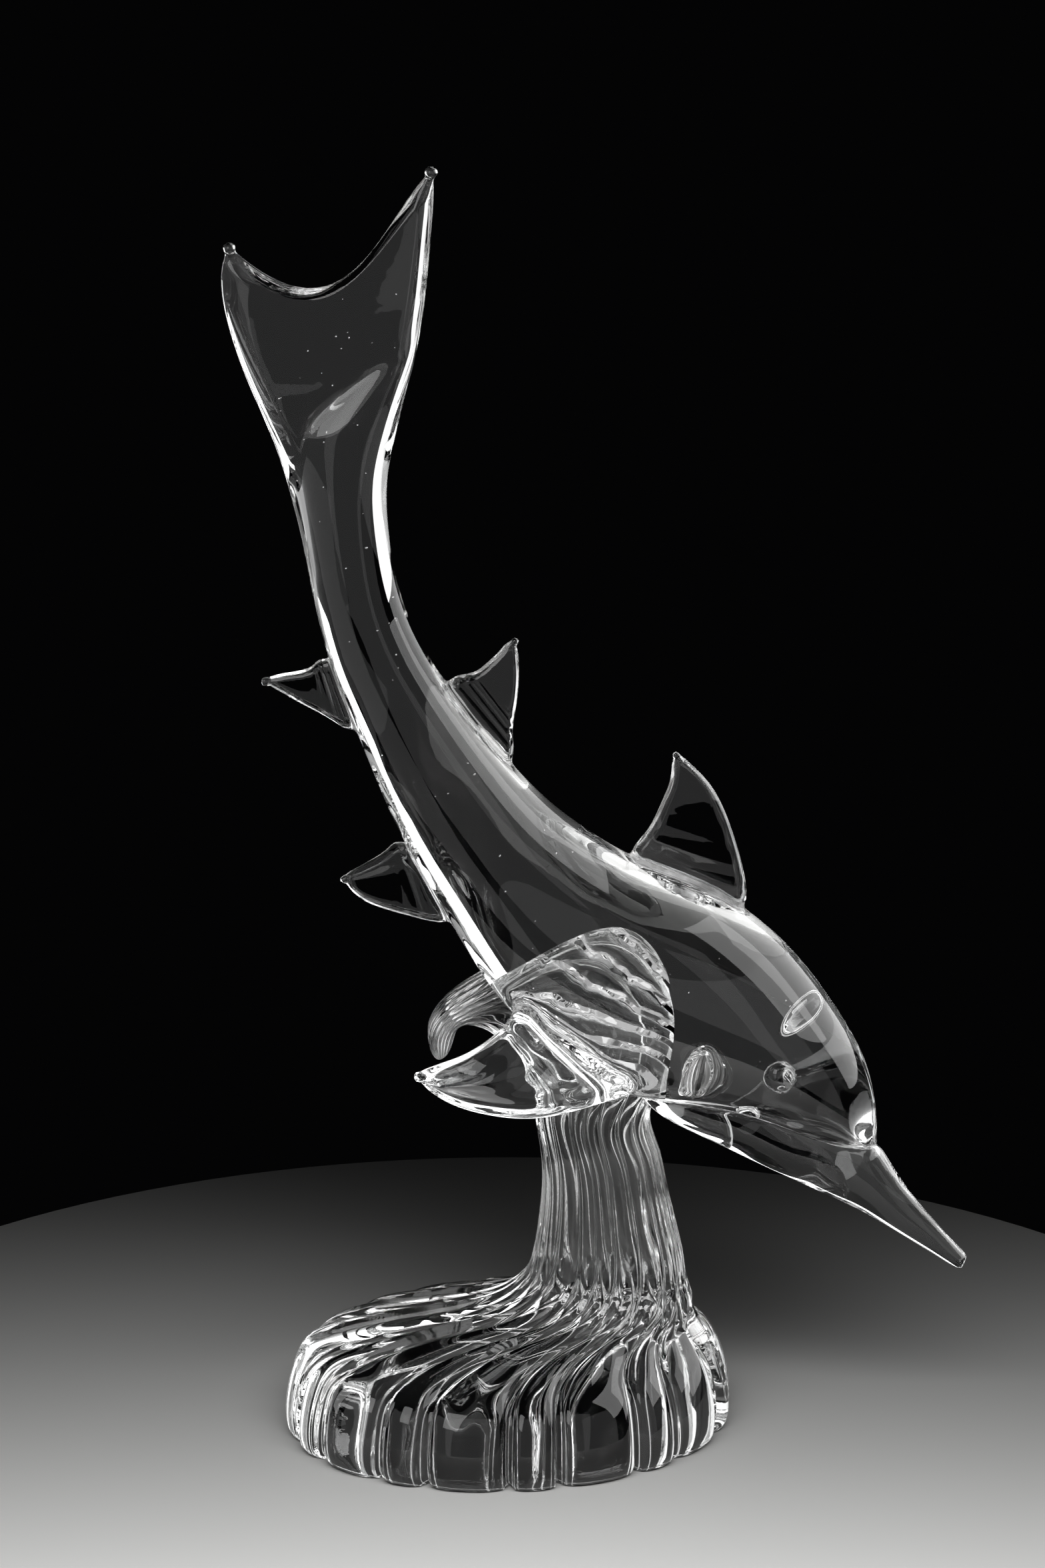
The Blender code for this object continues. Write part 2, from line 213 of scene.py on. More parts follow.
def ribbedJoin(name, look, fan):
    glass = clearGlass(name, look)
    nodes, links = glass.node_tree.nodes, glass.node_tree.links
    shader = nodes["Principled BSDF"]

    def maths(operation, first, second):
        step = nodes.new("ShaderNodeMath")
        step.operation = operation
        for socket, value in zip(step.inputs, (first, second)):
            if isinstance(value, float):
                socket.default_value = value
            else:
                links.new(value, socket)
        return step.outputs[0]

    place = nodes.new("ShaderNodeTexCoord")
    parts = nodes.new("ShaderNodeSeparateXYZ")
    links.new(place.outputs["Object"], parts.inputs["Vector"])
    right = maths('SUBTRACT', parts.outputs["X"], fan["point"][0])
    up = maths('SUBTRACT', parts.outputs["Z"], fan["point"][1])
    turn = math.radians(fan["turn"])
    back = maths('SUBTRACT', maths('MULTIPLY', up, math.sin(turn)),
                 maths('MULTIPLY', right, math.cos(turn)))
    across = maths('ADD', maths('MULTIPLY', up, math.cos(turn)),
                   maths('MULTIPLY', right, math.sin(turn)))
    slope = maths('DIVIDE', across, maths('ADD', maths('ABSOLUTE', back, 0.0), fan["near"]))
    noiseStep = nodes.new("ShaderNodeTexNoise")
    noiseStep.inputs["Scale"].default_value = fan["waverSize"]
    links.new(place.outputs["Object"], noiseStep.inputs["Vector"])
    shift = maths('MULTIPLY', noiseStep.outputs["Fac"], fan["waver"])
    phase = maths('ADD', maths('MULTIPLY', slope, fan["ribs"]), shift)
    rib = maths('ABSOLUTE', maths('SINE', phase, 0.0), 0.0)
    bump = nodes.new("ShaderNodeBump")
    bump.inputs["Distance"].default_value = fan["depth"]
    links.new(rib, bump.inputs["Height"])
    for link in list(links):
        if link.to_socket == shader.inputs["Normal"]:
            links.new(link.from_socket, bump.inputs["Normal"])
    links.new(bump.outputs["Normal"], shader.inputs["Normal"])
    return glass


dolphinGlass = clearGlass("dolphin_glass", glassLook)
waveGlass = clearGlass("wave_glass", glassLook)
joinGlass = ribbedJoin("join_glass", glassLook, fanLook)

# The dolphin's body, from the fork of the tail to the forehead. Each row: belly x and z, back x and
# z, half thickness, depth of the fork, how much of a flat plate it is, and half the thickness of the
# round stock that runs out into the plate.
body = dict(
    rings=300, points=128,
    # the rim of the flukes: its width, the share of the length it takes at the fork, how much of
    # a straight bevel it is there, how soon that bevel starts, and how far the fork's lowest
    # point leans to the belly
    edgeRound=7.5, forkRound=0.048, forkBevel=0.85, bevelStart=0.1, forkSkew=0.62,
    # the round stock: how far it runs out on a slant, between which rows, how far it is shifted
    # and narrowed where it meets the plate, and how wide the corner with the plate is rounded
    stockSlant=1.3, slantRows=(14.0, 8.0), stockShift=0.06, stockWidth=0.94, stockCorner=0.8,
    rows=(
        (-95.2, 431.0, -26.0, 457.2, 3.9, 22.4, 1.0, 0.0),
        (-97.2, 427.0, -25.3, 453.0, 4.0, 21.0, 1.0, 0.0),
        (-98.2, 419.0, -25.6, 443.0, 4.2, 18.5, 1.0, 0.0),
        (-97.2, 409.5, -26.8, 429.0, 4.4, 14.5, 1.0, 0.0),
        (-94.6, 399.0, -28.5, 413.0, 4.6, 10.5, 1.0, 0.0),
        (-90.4, 386.5, -31.2, 396.5, 4.8, 6.0, 1.0, 1.0),
        (-85.0, 373.5, -35.0, 381.5, 5.0, 2.5, 1.0, 6.5),
        (-79.9, 360.5, -38.8, 366.5, 6.0, 0.0, 0.85, 9.6),
        (-76.3, 348.3, -41.6, 352.5, 7.4, 0.0, 0.6, 11.2),
        (-73.1, 335.5, -42.0, 338.5, 9.6, 0.0, 0.35, 12.3),
        (-69.6, 318.0, -40.2, 322.0, 12.4, 0.0, 0.12, 13.2),
        (-66.4, 302.0, -36.8, 307.5, 14.0, 0.0, 0.0, 14.0),
        (-61.9, 284.5, -31.5, 294.5, 14.8, 0.0, 0.0, 14.8),
        (-55.6, 267.2, -24.4, 282.1, 16.0, 0.0, 0.0, 16.0),
        (-48.0, 247.5, -13.5, 267.0, 18.3, 0.0, 0.0, 18.3),
        (-38.5, 225.0, -0.5, 251.0, 21.5, 0.0, 0.0, 21.5),
        (-27.0, 203.5, 13.5, 236.0, 24.5, 0.0, 0.0, 24.5),
        (-15.0, 182.0, 27.5, 225.0, 27.5, 0.0, 0.0, 27.5),
        (0.0, 160.0, 42.0, 216.0, 30.3, 0.0, 0.0, 30.3),
        (19.5, 142.3, 58.5, 209.0, 32.5, 0.0, 0.0, 32.5),
        (38.0, 130.0, 77.5, 200.0, 33.6, 0.0, 0.0, 33.6),
        (58.5, 126.0, 97.5, 184.2, 33.6, 0.0, 0.0, 33.6),
        (78.0, 123.0, 112.0, 166.7, 32.0, 0.0, 0.0, 32.0),
        (93.7, 118.5, 122.5, 150.5, 29.4, 0.0, 0.0, 29.4),
        (106.6, 113.5, 129.2, 135.5, 25.0, 0.0, 0.0, 25.0),
        (117.6, 109.6, 131.9, 121.5, 17.5, 0.0, 0.0, 17.5),
        (126.4, 107.8, 132.5, 112.4, 9.0, 0.0, 0.0, 9.0),
        (129.8, 107.6, 132.6, 109.2, 3.0, 0.0, 0.0, 3.0),
    ),
)
bodyCurve = throughRows(body["rows"])
bodySteps = len(body["rows"]) - 1
rim = dict(straight=0.5, drop=0.9, end=0.9)    # how a plate's rim mixes a round and a straight slope


def roundAt(around):    # along the chord, across it, and which side
    angle = 2 * math.pi * around
    chord, rise = math.cos(angle), math.sin(angle)
    return chord, rise, math.copysign(1.0, rise) if abs(rise) > 1e-9 else 0.0


def middleAndReach(bellyX, bellyZ, backX, backZ):
    middle = Vector(((bellyX + backX) / 2, 0.0, (bellyZ + backZ) / 2))
    return middle, Vector(((backX - bellyX) / 2, 0.0, (backZ - bellyZ) / 2))


def plateRise(chord, halfChord, edge):    # a flat face with a rounded rim, from 0 to 1
    start = 1 - min(edge / halfChord, 1.0)
    over = max(abs(chord) - start, 0.0) / (1 - start)
    return mix(math.sqrt(max(1 - over * over, 0.0)), 1 - over * rim["drop"],
               rim["straight"] * smoothStep(1.0, rim["end"], over))


def bodyPoint(share, around):
    edgeShare = body["forkRound"]
    if share < edgeShare:
        share = edgeShare * (1 - math.cos(math.pi / 2 * share / edgeShare))
    bellyX, bellyZ, backX, backZ, half, sag, plate, stock = rowAt(bodyCurve, share)
    chord, rise, side = roundAt(around)
    middle, reach = middleAndReach(bellyX, bellyZ, backX, backZ)
    plate = min(max(plate, 0.0), 1.0)
    flat = half * mix(abs(rise), plateRise(chord, reach.length, body["edgeRound"]), plate)
    slant = body["stockSlant"] * chord * smoothStep(*body["slantRows"], share * bodySteps)
    stock = rowAt(bodyCurve, share + slant / bodySteps)[7]
    offset = (chord - body["stockShift"] * plate) / mix(1.0, body["stockWidth"], plate)
    ridge = max(stock, 0.0) * math.sqrt(max(1 - offset * offset, 0.0))
    thick = softMax(flat, ridge, body["stockCorner"] * plate)
    if side == 0.0:
        thick = 0.0
    if share < edgeShare:
        run = share / edgeShare
        bevel = body["forkBevel"] * smoothStep(0.0, body["bevelStart"], run)
        thick *= mix(math.sqrt(max(1 - (1 - run) ** 2, 0.0)), run, bevel)
    inward = sideways.cross(reach).normalized()
    fork = sag * (1 - chord * chord) * (1 - body["forkSkew"] * chord)
    return middle + reach * chord + inward * fork + sideways * (thick * side)


# The jaw and the beak. Each row: belly x and z, back x and z, half thickness.
jaw = dict(
    rings=120, points=72, waver=0.018, wavesLong=5.0, wavesRound=3.0, waverEnd=(0.95, 0.7),
    # where the tip is snapped off: a point on each break and the way it faces
    chips=(((164.6, 0.0, 62.6), (0.83, 0.12, -0.55)), ((165.2, -0.6, 64.2), (0.55, -0.75, 0.36))),
    rows=(
        (47.0, 127.5, 53.0, 138.5, 5.0),
        (55.0, 119.4, 65.5, 137.5, 11.0),
        (69.3, 112.0, 82.5, 132.5, 14.0),
        (82.0, 105.7, 96.0, 126.5, 14.8),
        (93.0, 100.2, 108.5, 120.5, 14.5),
        (101.5, 96.1, 118.5, 115.5, 13.4),
        (107.5, 93.0, 127.0, 111.3, 12.0),
        (113.0, 90.4, 133.4, 107.3, 10.6),
        (122.0, 86.0, 137.9, 100.9, 9.0),
        (133.0, 79.8, 144.9, 90.3, 6.8),
        (145.0, 72.2, 153.6, 79.6, 5.0),
        (155.7, 65.3, 161.3, 71.0, 3.5),
        (161.6, 61.6, 165.6, 66.2, 2.7),
        (164.2, 60.8, 166.4, 63.4, 1.4),
    ),
)
jawCurve = throughRows(jaw["rows"])


def jawPoint(share, around):
    bellyX, bellyZ, backX, backZ, half = rowAt(jawCurve, share)
    chord, rise = roundAt(around)[:2]
    middle, reach = middleAndReach(bellyX, bellyZ, backX, backZ)
    swell = math.sin(2 * math.pi * jaw["wavesLong"] * share + jaw["wavesRound"] * chord)
    half *= 1 + jaw["waver"] * swell * smoothStep(*jaw["waverEnd"], share)
    return middle + reach * chord + sideways * (half * rise)


def jawMesh():
    mesh = tube(jaw["rings"], jaw["points"], jawPoint)
    for place, facing in jaw["chips"]:
        bmesh.ops.bisect_plane(mesh, geom=mesh.verts[:] + mesh.edges[:] + mesh.faces[:], dist=1e-6,
                               plane_co=Vector(place) * millimetre, plane_no=facing, clear_outer=True)
        bmesh.ops.holes_fill(mesh, edges=mesh.edges, sides=0)
    faceOutward(mesh)
    return mesh


# The fins, from a root inside the body out to the tip. Each row: leading edge x, y, z, trailing edge
# x, y, z, and half the thickness.
fins = dict(
    rings=72, points=64, tipShare=0.10, flatness=0.92, step=0.01,
    # folds near the root, a swirl over the whole face and a bead along one edge
    foldCount=9, foldSkew=1.4, foldEnd=(0.5, 0.3),
    swirlAcross=5.5, swirlAlong=7.0, swirlEnd=(0.98, 0.7), beadFrom=(0.35, 0.85),
    upperBackFin=dict(edge=2.6, folds=0.12, rows=(
        (-1.0, 0.0, 243.0, -27.0, 0.0, 274.0, 5.2),
        (1.8, 0.0, 252.0, -19.5, 0.0, 280.2, 3.7),
        (1.6, 0.0, 261.0, -12.5, 0.0, 282.0, 3.0),
        (2.8, 0.0, 270.5, -7.6, 0.0, 285.4, 2.4),
        (3.7, 0.0, 281.0, -3.4, 0.0, 289.4, 1.9),
        (3.4, 0.0, 292.8, 0.4, 0.0, 294.2, 1.1),
    )),
    lowerBackFin=dict(edge=3.0, folds=0.04, rows=(
        (80.0, 0.0, 188.0, 40.0, 0.0, 206.0, 6.4),
        (84.3, 0.0, 199.0, 43.2, 0.0, 217.0, 4.4),
        (82.6, 0.0, 213.0, 49.4, 0.0, 225.4, 3.4),
        (77.8, 0.0, 228.5, 54.0, 0.0, 235.2, 2.8),
        (71.8, 0.0, 240.8, 56.8, 0.0, 242.2, 2.3),
        (64.8, 0.0, 248.6, 57.6, 0.0, 248.0, 1.8),
        (60.2, 0.0, 253.0, 58.0, 0.0, 251.8, 1.1),
    )),
    upperBellyFin=dict(edge=2.2, folds=0.05, rows=(
        (-48.0, 0.0, 262.0, -56.0, 0.0, 286.0, 4.6),
        (-55.4, 0.0, 261.4, -64.6, 0.0, 287.2, 3.2),
        (-63.2, 0.0, 265.8, -68.8, 0.0, 284.3, 2.5),
        (-71.5, 0.0, 270.3, -74.2, 0.0, 282.5, 2.1),
        (-78.6, 0.0, 274.5, -80.0, 0.0, 281.5, 1.8),
        (-84.4, 0.0, 277.6, -85.0, 0.0, 280.3, 1.2),
    )),
    lowerBellyFin=dict(edge=2.4, folds=0.05, bead=0.9, rows=(
        (-11.0, 0.0, 193.0, -26.0, 0.0, 213.0, 5.2),
        (-23.5, 0.0, 191.3, -37.2, 0.0, 220.8, 3.6),
        (-34.4, 0.0, 193.5, -43.2, 0.0, 217.8, 2.9),
        (-44.3, 0.0, 196.3, -49.2, 0.0, 213.8, 2.4),
        (-52.2, 0.0, 200.0, -54.8, 0.0, 210.6, 2.0),
        (-57.8, 0.0, 205.4, -58.8, 0.0, 208.4, 1.2),
    )),
    nearFlipper=dict(edge=4.2, folds=0.5, bead=1.6, beadSide=-1, swirl=0.5, rows=(
        (38.0, -8.0, 141.0, 11.0, -6.0, 168.0, 6.5),
        (44.0, -19.0, 134.0, 3.0, -17.0, 168.0, 6.2),
        (33.0, -27.0, 132.6, 0.4, -26.0, 163.0, 4.6),
        (11.0, -36.0, 130.0, -11.8, -34.0, 154.8, 3.9),
        (-11.1, -44.0, 135.0, -21.6, -42.0, 152.8, 3.2),
        (-22.6, -49.0, 141.4, -27.0, -48.0, 152.6, 2.6),
        (-30.6, -52.5, 148.4, -31.2, -52.0, 152.4, 1.5),
    )),
    farFlipper=dict(edge=3.6, folds=0.3, rows=(
        (92.0, 12.0, 128.0, 68.0, 12.0, 148.0, 6.5),
        (94.0, 26.0, 123.0, 67.0, 28.0, 145.0, 5.0),
        (90.0, 39.0, 114.0, 68.0, 41.0, 133.0, 3.9),
        (84.0, 50.0, 106.5, 70.0, 52.0, 119.5, 3.2),
        (77.0, 58.5, 101.5, 71.5, 59.5, 107.0, 1.6),
    )),
)


def finMesh(sizes):
    curve = throughRows(sizes["rows"])
    step = fins["step"]

    def middleAt(share):
        row = rowAt(curve, share)
        return (Vector(row[0:3]) + Vector(row[3:6])) / 2

    def place(share, around):
        tip = fins["tipShare"]
        if share > 1 - tip:    # more rings where the tip rounds off
            share = 1 - tip + tip * math.sin(math.pi / 2 * (share - 1 + tip) / tip)
        row = rowAt(curve, share)
        lead, trail, half = Vector(row[0:3]), Vector(row[3:6]), row[6]
        along = middleAt(min(share + step, 1.0)) - middleAt(max(share - step, 0.0))
        across = along.cross(trail - lead).normalized()
        chord, rise, side = roundAt(around)
        reach = (trail - lead) / 2
        flat = mix(abs(rise), plateRise(chord, reach.length, sizes["edge"]), fins["flatness"])
        fade = math.sqrt(max(1 - max((share - 1 + tip) / tip, 0.0) ** 2, 0.0))
        fold = math.sin(2 * math.pi * fins["foldCount"] * share + fins["foldSkew"] * chord)
        half += sizes["folds"] * fold * smoothStep(*fins["foldEnd"], share)
        swirl = math.sin(fins["swirlAcross"] * chord + fins["swirlAlong"] * share)
        half += sizes.get("swirl", 0.0) * swirl * smoothStep(*fins["swirlEnd"], share)
        half += sizes.get("bead", 0.0) * smoothStep(*fins["beadFrom"], chord * sizes.get("beadSide", 1))
        return (lead + trail) / 2 + reach * (chord * fade) + across * (side * half * flat * fade)

    return tube(fins["rings"], fins["points"], place)


# The eye beads: their radius, how far they stand out, and where they sit on the cheek
eyes = dict(radius=5.9, proud=3.4, sectionShare=22 / 27, forward=0.8, towardBack=-0.03, cheek=0.985)


def eyeMiddle(side):
    bellyX, bellyZ, backX, backZ, half = rowAt(bodyCurve, eyes["sectionShare"])[:5]
    middle, towardBack = middleAndReach(bellyX, bellyZ, backX, backZ)
    forward = sideways.cross(towardBack).normalized() * eyes["forward"]
    sunk = eyes["radius"] - eyes["proud"]
    outward = sideways * side * (half * eyes["cheek"] - sunk)
    return middle + towardBack * eyes["towardBack"] + forward + outward


# The small beads that close the tips: x, y, z and radius
knobs = dict(flukeLeft=(-95.2, 0.0, 430.2, 2.3), flukeRight=(-26.2, 0.0, 456.0, 2.4),
             upperBelly=(-84.6, 0.0, 278.8, 1.9), lowerBelly=(-58.0, 0.0, 207.0, 1.6),
             upperBack=(2.2, 0.0, 293.0, 1.5), lowerBack=(59.2, 0.0, 252.0, 1.5),
             nearFlipper=(-30.4, -52.0, 150.4, 2.1), farFlipper=(74.2, 59.0, 104.4, 2.0))


def ballMesh(middle, radius, subdivisions):
    mesh = bmesh.new()
    bmesh.ops.create_icosphere(mesh, subdivisions=subdivisions, radius=radius * millimetre)
    bmesh.ops.translate(mesh, verts=mesh.verts, vec=middle * millimetre)
    return mesh


def joined(name, meshes, mark):
    whole = bmesh.new()
    for mesh in meshes:
        for face in mesh.faces:
            face.material_index = mark
        data = bpy.data.meshes.new("part")
        mesh.to_mesh(data)
        mesh.free()
        whole.from_mesh(data)
        bpy.data.meshes.remove(data)
    return asObject(name, whole)


# Marks on the faces while the parts are melted together
onBody, onJaw, onFin, onKnob, onEye, onWave = range(6)

dolphin = joined("dolphin_glass_body", [tube(body["rings"], body["points"], bodyPoint)], onBody)
head = joined("jaw_part", [jawMesh()], onJaw)
finNames = ("upperBackFin", "lowerBackFin", "upperBellyFin", "lowerBellyFin", "nearFlipper", "farFlipper")
finParts = joined("fin_parts", [finMesh(fins[name]) for name in finNames], onFin)
eyeParts = joined("eye_parts", [ballMesh(eyeMiddle(side), eyes["radius"], 4) for side in (-1, 1)],
                  onEye)
knobParts = joined("knob_parts", [ballMesh(Vector(knob[:3]), knob[3], 3) for knob in knobs.values()],
                   onKnob)
for part in (head, finParts, knobParts, eyeParts):
    booleanWith(dolphin, 'UNION', part)
    removeObject(part)
print("dolphin joined:", len(dolphin.data.polygons), "faces")


def fused(thing, reaches):    # rounds the corners where two parts were melted together
    mesh = bmesh.new()
    mesh.from_mesh(thing.data)
    bmesh.ops.triangulate(mesh, faces=[face for face in mesh.faces if len(face.verts) > 4])

    def seamVerts(kinds):
        found = set()
        for edge in mesh.edges:
            marks = {face.material_index for face in edge.link_faces}
            if len(marks) == 2 and marks <= kinds:
                found.update(edge.verts)
        return found

    for kinds, reach, turns in reaches:
        distance = {vert: 0.0 for vert in seamVerts(kinds)}
        queue = list(distance)
        while queue:
            following = []
            for vert in queue:
                for edge in vert.link_edges:
                    other = edge.other_vert(vert)
                    far = distance[vert] + edge.calc_length()
                    if far < reach and far < distance.get(other, reach):
                        distance[other] = far
                        following.append(other)
            queue = following
        for turn in range(turns):
            bmesh.ops.smooth_vert(mesh, verts=list(distance), factor=0.5, use_axis_x=True,
                                  use_axis_y=True, use_axis_z=True)
    mesh.to_mesh(thing.data)
    mesh.free()


# Each seam: the two marks that meet, how far it reaches in metres, and how often it is smoothed
fused(dolphin, (({onBody, onFin}, 0.0036, 14), ({onJaw, onFin}, 0.0032, 10),
                ({onBody, onKnob}, 0.0025, 8), ({onFin, onKnob}, 0.0022, 8),
                ({onBody, onJaw}, 0.0016, 4)))
print("seams rounded")

# The wave: a lobed foot, a ribbed column and a crest behind the belly. Each foot row: share of the
# height, how much wider and deeper than the column it is, and how far it is shifted to the column.
# Each column row: share of the height, how much of the flare at its foot is left, and how far it
# leans. Each crest row: inner x and z, outer x and z, y, half depth, rib depth.
wave = dict(
    ribs=20, pointsPerRib=12, rings=290, seed=7,
    footLength=164.0, footDepth=138.0, footHeight=67.0, footBack=5.5, footTurn=13.0, footSwirl=20.0,
    lobeDepth=7.6, ribDepth=2.3, lobeFullness=2.7, lobeFrom=(0.05, 0.45),
    ribWidth=(0.72, 1.35), ribHeight=(0.75, 1.15), lobeWidth=(0.75, 1.25),
    # the grooves run down the foot's slope: how deep, over which part of it, and above which height
    ridgeDrop=5.5, slopeStart=(0.02, 0.3), slopeEnd=(0.99, 0.8), ridgeHeight=(12.0, 30.0),
    columnX=35.8, columnLean=5.6, columnBack=6.0, seat=118.0,
    columnFoot=(54.5, 48.0), columnTop=(41.7, 37.0),
    footRows=(
        (0.000, 0.950, 0.940, 0.00),
        (0.050, 0.995, 0.995, 0.00),
        (0.180, 1.000, 1.000, 0.00),
        (0.330, 0.965, 0.940, 0.00),
        (0.445, 0.900, 0.820, 0.01),
        (0.530, 0.790, 0.640, 0.08),
        (0.600, 0.610, 0.430, 0.25),
        (0.665, 0.400, 0.240, 0.52),
        (0.740, 0.200, 0.110, 0.80),
        (0.850, 0.060, 0.040, 0.95),
        (1.000, 0.000, 0.000, 1.00),
    ),
    columnRows=((0.26, 0.58, 0.07), (0.52, 0.24, 0.24), (0.76, 0.07, 0.55), (1.00, 0.00, 1.00)),
    crestRows=(
        (8.0, 125.5, 58.0, 131.0, 11.0, 18.5, 1.7),
        (5.0, 131.5, 66.0, 139.0, 17.0, 18.5, 1.7),
        (0.8, 136.6, 67.0, 152.0, 22.0, 18.5, 1.6),
        (-4.0, 140.4, 58.0, 166.0, 25.0, 18.0, 1.5),
        (-7.8, 143.2, 42.0, 177.0, 25.5, 17.5, 1.4),
        (-11.4, 145.4, 22.0, 180.0, 24.0, 16.5, 1.2),
        (-14.6, 146.8, 2.0, 172.5, 22.0, 15.0, 1.0),
        (-17.0, 147.1, -14.0, 164.0, 20.5, 13.5, 0.8),
        (-18.6, 146.0, -24.0, 156.6, 19.0, 12.0, 0.6),
        (-19.6, 143.6, -28.8, 149.0, 18.0, 10.5, 0.5),
        (-20.4, 140.8, -29.2, 142.6, 17.3, 9.0, 0.4),
        (-21.6, 138.0, -27.8, 137.4, 16.8, 7.0, 0.3),
        (-23.6, 136.0, -26.0, 135.6, 16.5, 3.4, 0.1),
    ),
)


def waveRows():    # middle x, y, z, reach x, y, z, half depth x, y, z, rib depth, swirl, spread
    rows = []
    turn = math.radians(wave["footTurn"])
    for height, length, depth, shift in wave["footRows"]:
        halfLength = mix(wave["columnFoot"][0], wave["footLength"], length) / 2
        halfDepth = mix(wave["columnFoot"][1], wave["footDepth"], depth) / 2
        cos, sin = math.cos(turn * length), math.sin(turn * length)
        rows.append((wave["columnX"] * shift, wave["footBack"] * (1 - shift),
                     wave["footHeight"] * height,
                     cos * halfLength, sin * halfLength, 0.0, -sin * halfDepth, cos * halfDepth, 0.0,
                     mix(wave["ribDepth"], wave["lobeDepth"], length),
                     -math.radians(wave["footSwirl"]) * length, length))
    for height, slack, lean in wave["columnRows"]:
        rows.append((wave["columnX"] - wave["columnLean"] * lean, wave["columnBack"] * lean,
                     mix(wave["footHeight"], wave["seat"], height),
                     mix(wave["columnTop"][0], wave["columnFoot"][0], slack) / 2, 0.0, 0.0,
                     0.0, mix(wave["columnTop"][1], wave["columnFoot"][1], slack) / 2, 0.0,
                     wave["ribDepth"], 0.0, 0.0))
    for innerX, innerZ, outerX, outerZ, y, half, rib in wave["crestRows"]:
        rows.append(((innerX + outerX) / 2, y, (innerZ + outerZ) / 2,
                     (outerX - innerX) / 2, 0.0, (outerZ - innerZ) / 2, 0.0, half, 0.0,
                     rib, 0.0, 0.0))
    return rows


waveCurve = throughRows(waveRows())
ribDraw = random.Random(wave["seed"])
ribWidths = [ribDraw.uniform(*wave["ribWidth"]) for rib in range(wave["ribs"])]
lobeWidths = [wave["lobeWidth"][rib % 2] for rib in range(wave["ribs"])]
ribHeights = [ribDraw.uniform(*wave["ribHeight"]) for rib in range(wave["ribs"])]


def ribAt(widths, around):    # which rib, and how far across it
    total = sum(widths)
    spot = around * total
    for rib, width in enumerate(widths):
        if spot < width or rib == len(widths) - 1:
            return rib, min(spot / width, 1.0)
        spot -= width


def lobe(across, fullness=2.0):    # a round rib with a sharp groove at each side
    return max(1 - abs(2 * across - 1) ** fullness, 0.0) ** (1 / fullness)


def wavePoint(share, around):
    row = rowAt(waveCurve, share)
    middle, reach, deep = Vector(row[0:3]), Vector(row[3:6]), Vector(row[6:9])
    ribDepth, swirl, spread = row[9:12]
    spread = min(max(spread, 0.0), 1.0)
    rib, across = ribAt(ribWidths, around)
    column = lobe(across) * ribHeights[rib]
    foot = lobe(ribAt(lobeWidths, (around + 0.5 / wave["ribs"]) % 1.0)[1], wave["lobeFullness"])
    footShare = smoothStep(*wave["lobeFrom"], spread)
    height = mix(column, foot, footShare)
    cut = ribDepth / ((reach.length + deep.length) / 2)
    angle = 2 * math.pi * around + swirl
    scale = 1 - cut * (1 - height)
    slope = smoothStep(*wave["slopeStart"], spread) * smoothStep(*wave["slopeEnd"], spread)
    middle.z -= wave["ridgeDrop"] * slope * (1 - height) * smoothStep(*wave["ridgeHeight"], middle.z)
    return middle + (reach * math.cos(angle) + deep * math.sin(angle)) * scale


waveMesh = tube(wave["rings"], wave["ribs"] * wave["pointsPerRib"], wavePoint)
for face in waveMesh.faces:
    face.material_index = onWave
uncut = asObject("wave_uncut", waveMesh)
print("wave lofted:", len(uncut.data.polygons), "faces")

# Where the wave is melted to the dolphin
markSlots = [bpy.data.materials.new("mark") for mark in range(onWave + 1)]
for thing in (dolphin, uncut):
    for slot in markSlots:
        thing.data.materials.append(slot)


def copyOf(thing, name):
    twin = bpy.data.objects.new(name, thing.data.copy())
    bpy.context.scene.collection.objects.link(twin)
    return twin


def dolphinFaces(thing, slot):    # drops the faces that came from the wave
    mesh = bmesh.new()
    mesh.from_mesh(thing.data)
    bmesh.ops.delete(mesh, geom=[face for face in mesh.faces if face.material_index >= onWave],
                     context='FACES')
    for face in mesh.faces:
        face.material_index = slot
    return mesh


outer = copyOf(dolphin, "dolphin_outer")
booleanWith(outer, 'DIFFERENCE', uncut)
patch = copyOf(dolphin, "dolphin_patch")
booleanWith(patch, 'INTERSECT', uncut)
outerMesh = dolphinFaces(outer, 0)
patchMesh = dolphinFaces(patch, 1)
patchData = bpy.data.meshes.new("patch")
patchMesh.to_mesh(patchData)
patchMesh.free()
outerMesh.from_mesh(patchData)
bpy.data.meshes.remove(patchData)
bmesh.ops.remove_doubles(outerMesh, verts=outerMesh.verts, dist=sameSpot)
print("dolphin parted at the join:", len(outerMesh.faces), "faces")

fitGap = 0.00012    # metres between the two skins
grown = copyOf(dolphin, "dolphin_grown")
outward = [vert.normal.copy() for vert in grown.data.vertices]
for vert, normal in zip(grown.data.vertices, outward):
    vert.co += normal * fitGap
booleanWith(uncut, 'DIFFERENCE', grown)
for thing in (outer, patch, grown):
    removeObject(thing)
removeObject(dolphin)

dolphin = asObject("dolphin_glass_figure", outerMesh, (dolphinGlass, joinGlass))
waveMesh = bmesh.new()
waveMesh.from_mesh(uncut.data)
for face in waveMesh.faces:
    face.material_index = 0 if face.material_index == onWave else 1
removeObject(uncut)
waveBase = asObject("ribbed_glass_wave", waveMesh, (waveGlass, joinGlass))
for slot in markSlots:
    bpy.data.materials.remove(slot)
smoothShade(dolphin)
smoothShade(waveBase)
underside = dict(slope=-0.95, height=0.001)    # ground flat
for polygon in waveBase.data.polygons:
    if polygon.normal.z < underside["slope"] and polygon.center.z < underside["height"]:
        polygon.use_smooth = False

